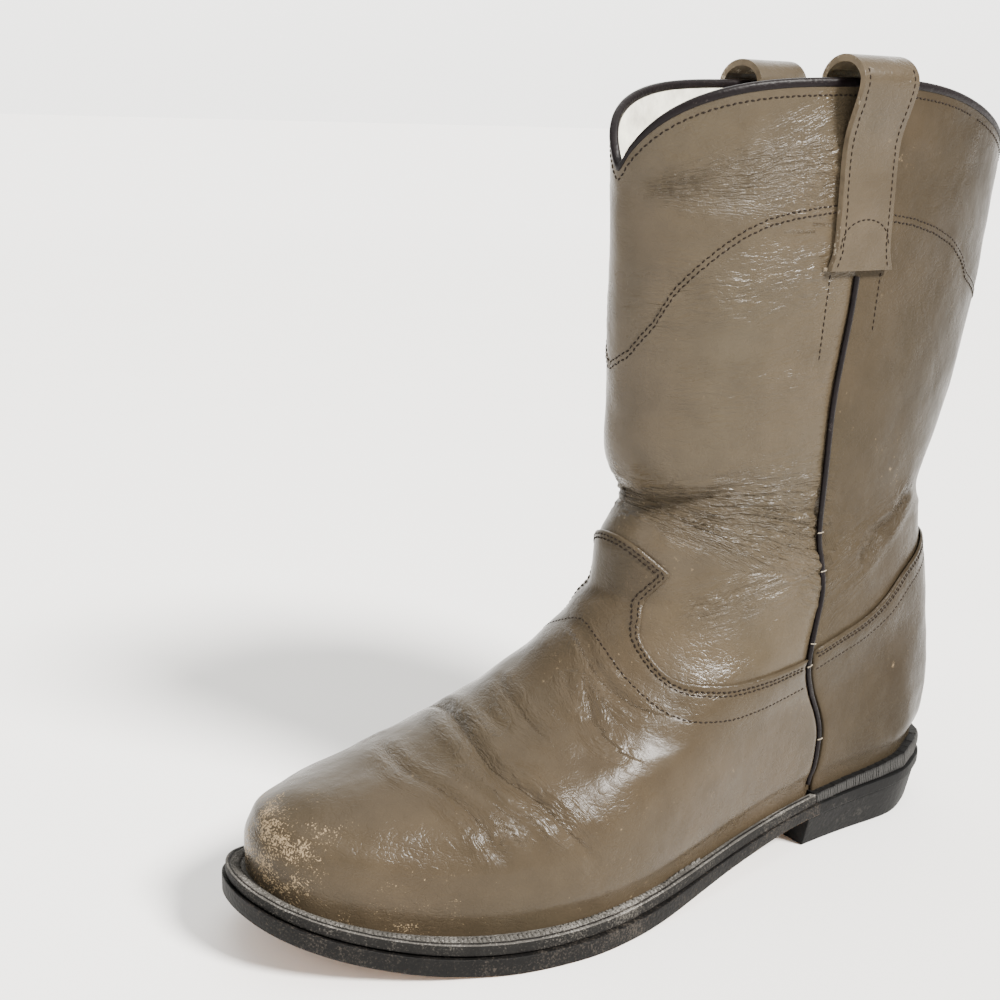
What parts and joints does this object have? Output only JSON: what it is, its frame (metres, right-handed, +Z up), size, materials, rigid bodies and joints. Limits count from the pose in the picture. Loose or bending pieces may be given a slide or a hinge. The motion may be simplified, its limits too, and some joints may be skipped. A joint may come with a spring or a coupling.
{
  "type": "roper boot",
  "caption": "Pull-on leather roper boot for the left foot, with a round toe, low block heel, scalloped collar and pull straps.",
  "frame": {"origin": "centre of the heel's tread on the floor", "axes": "+Z up, toe towards -Y, outer side of the foot towards +X"},
  "size_m": [0.1067, 0.3123, 0.292],
  "materials": {
    "upper_leather": "glossy creased taupe leather, cream lining inside",
    "taupe_leather": "glossy creased taupe leather with scuffs",
    "dark_piping": "dark plum binding, slightly glossy",
    "black_sole": "black sole edge, scuffed",
    "worn_welt": "faded grey welt with stitch marks",
    "black_rubber": "matte black rubber",
    "cream_insole": "plain cream insole"
  },
  "bodies": {
    "root": {"upper": "upper_leather", "vamp": "taupe_leather", "counter": "taupe_leather", "pull_strap_outer": "taupe_leather", "pull_strap_inner": "taupe_leather", "side_piping_outer": "dark_piping", "side_piping_inner": "dark_piping", "collar_piping": "dark_piping", "outsole": "black_sole", "heel_rand": "black_sole", "welt": "worn_welt", "heel": "black_rubber", "insole": "cream_insole"}
  },
  "joints": []
}
